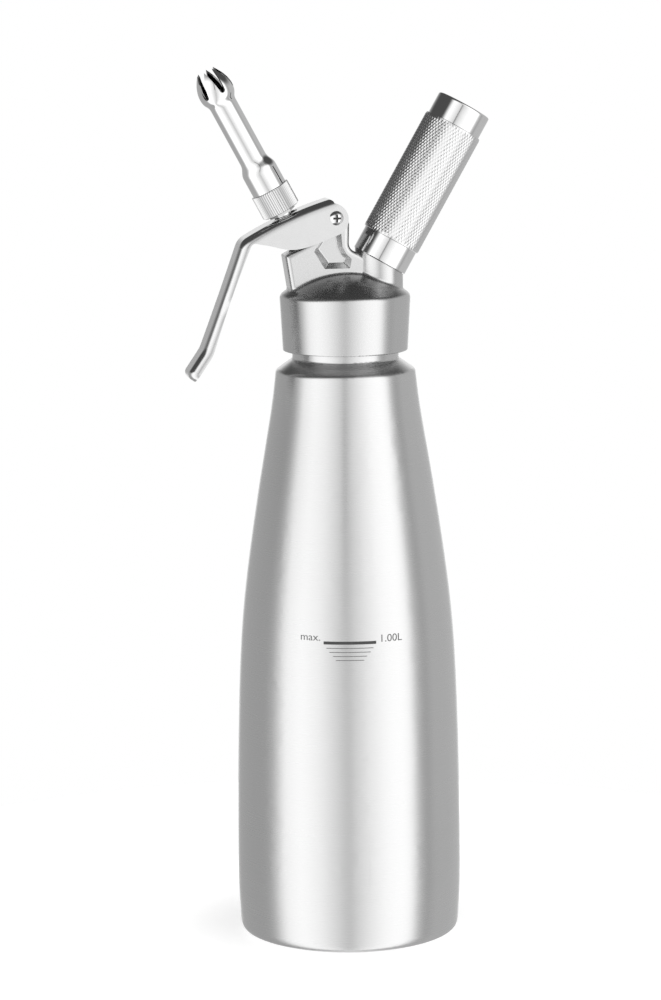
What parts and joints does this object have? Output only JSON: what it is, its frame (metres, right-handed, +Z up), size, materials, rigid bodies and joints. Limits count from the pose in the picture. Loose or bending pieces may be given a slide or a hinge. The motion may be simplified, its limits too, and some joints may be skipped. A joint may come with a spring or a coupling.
{
  "type": "whipped cream dispenser",
  "caption": "Stainless whipped cream dispenser with squeeze lever, decorating nozzle, screw-on charger holder and pressure bottle.",
  "frame": {"origin": "on the bottle's axis, in the plane that the foot ring stands on", "axes": "+Z up along the bottle, +X towards the charger holder, -X towards the lever and nozzle"},
  "size_m": [0.1353, 0.0996, 0.3885],
  "materials": {
    "brushed_steel": "brushed round the axis",
    "satin_steel": "satin",
    "polished_steel": "polished",
    "turned_steel": "turned",
    "charger_steel": "bright drawn",
    "red_silicone": "smooth",
    "black_rubber": "smooth"
  },
  "bodies": {
    "bottle": {"bottle": "brushed_steel", "neck_ring": "brushed_steel"},
    "gasket": {"head_gasket": "red_silicone"},
    "head": {"head": "satin_steel", "pivot_barrel": "polished_steel", "pivot_screw": "polished_steel", "return_spring": "turned_steel", "charging_valve_body": "turned_steel", "charging_valve_oring": "black_rubber", "piercing_pin": "turned_steel", "charger_seal": "black_rubber", "check_retainer": "turned_steel", "check_spring": "turned_steel"},
    "lever": {"lever": "satin_steel"},
    "stem": {"valve_stem": "polished_steel", "valve_seal": "black_rubber", "stem_oring": "black_rubber", "spring_cap": "satin_steel", "stem_nut": "satin_steel"},
    "nozzle_carriage": {"nozzle_gasket": "black_rubber"},
    "nozzle": {"nozzle_adapter": "polished_steel", "decorator_nozzle": "polished_steel"},
    "check_plunger": {"check_plunger": "turned_steel"},
    "charger": {"gas_charger": "charger_steel", "charger_cap": "charger_steel"},
    "holder": {"holder_tube": "polished_steel", "holder_sleeve": "polished_steel", "holder_cap": "polished_steel"}
  },
  "joints": [
    {"name": "head_lift", "type": "slide", "parent": "bottle", "child": "gasket", "axis": [0, 0, 1], "range_m": [0, 0.0075]},
    {"name": "head_spin", "type": "hinge", "parent": "gasket", "child": "head", "pos_m": [0, 0, 0.2711], "axis": [0, 0, 1], "range_deg": [0, 900.5]},
    {"name": "lever_squeeze", "type": "hinge", "parent": "head", "child": "lever", "pos_m": [-0.00511, 0, 0.32243], "axis": [0, -1, 0], "range_deg": [0, 10], "stiffness_Nm_per_rad": 0.7, "springref_deg": -22.92},
    {"name": "stem_push", "type": "slide", "parent": "head", "child": "stem", "axis": [0.4741, 0, -0.8805], "range_m": [0, 0.0034], "deforming": ["return_spring"]},
    {"name": "nozzle_lift", "type": "slide", "parent": "stem", "child": "nozzle_carriage", "axis": [-0.4741, 0, 0.8805], "range_m": [0, 0.00625]},
    {"name": "nozzle_spin", "type": "hinge", "parent": "nozzle_carriage", "child": "nozzle", "pos_m": [-0.0311, 0, 0.33126], "axis": [-0.4741, 0, 0.8805], "range_deg": [0, 1801]},
    {"name": "holder_lift", "type": "slide", "parent": "head", "child": "charger", "axis": [0.4955, 0, 0.8686], "range_m": [0, 0.0075]},
    {"name": "holder_spin", "type": "hinge", "parent": "charger", "child": "holder", "pos_m": [0.02973, 0, 0.32762], "axis": [0.4955, 0, 0.8686], "range_deg": [0, 1801]},
    {"name": "check_open", "type": "slide", "parent": "head", "child": "check_plunger", "axis": [-0.4955, 0, -0.8686], "range_m": [0, 0.001], "stiffness_N_per_m": 60, "springref_m": -0.002, "deforming": ["check_spring"]}
  ],
  "couplings": [
    {"joint": "head_spin", "follows": "head_lift", "rad_per_m": 2094.4},
    {"joint": "stem_push", "follows": "lever_squeeze", "m_per_rad": 0.0187},
    {"joint": "nozzle_spin", "follows": "nozzle_lift", "rad_per_m": 5026.5},
    {"joint": "holder_spin", "follows": "holder_lift", "rad_per_m": 4188.8}
  ]
}
